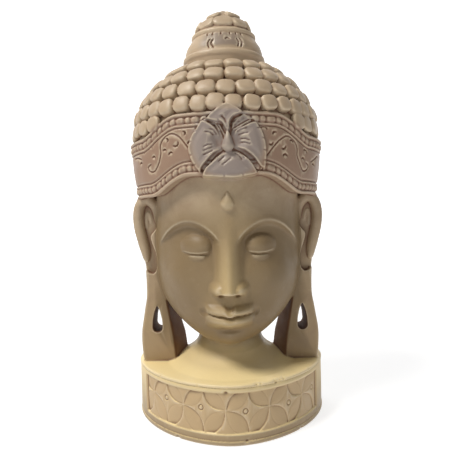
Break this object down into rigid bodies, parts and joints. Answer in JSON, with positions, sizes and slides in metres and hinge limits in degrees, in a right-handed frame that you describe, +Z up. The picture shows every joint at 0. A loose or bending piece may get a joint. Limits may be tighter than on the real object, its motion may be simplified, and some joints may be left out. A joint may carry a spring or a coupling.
{
  "type": "stone buddha head",
  "caption": "Carved stone Buddha head with long pierced ear lobes, curled hair, a banded crown with a flower and a topknot, one block with its half-round plinth and flat back",
  "frame": {"origin": "middle of the underside of the whole work's bounding box, on the surface it stands on", "axes": "+Z up, the face looks along -Y, the flat back faces +Y, +X is on the right of someone who looks at the face"},
  "size_m": [0.1956, 0.0966, 0.404],
  "materials": {
    "stone": "satin carved tan stone, slightly waxed, darker in the cuts"
  },
  "bodies": {
    "root": {"buddha_head": "stone"}
  },
  "joints": []
}
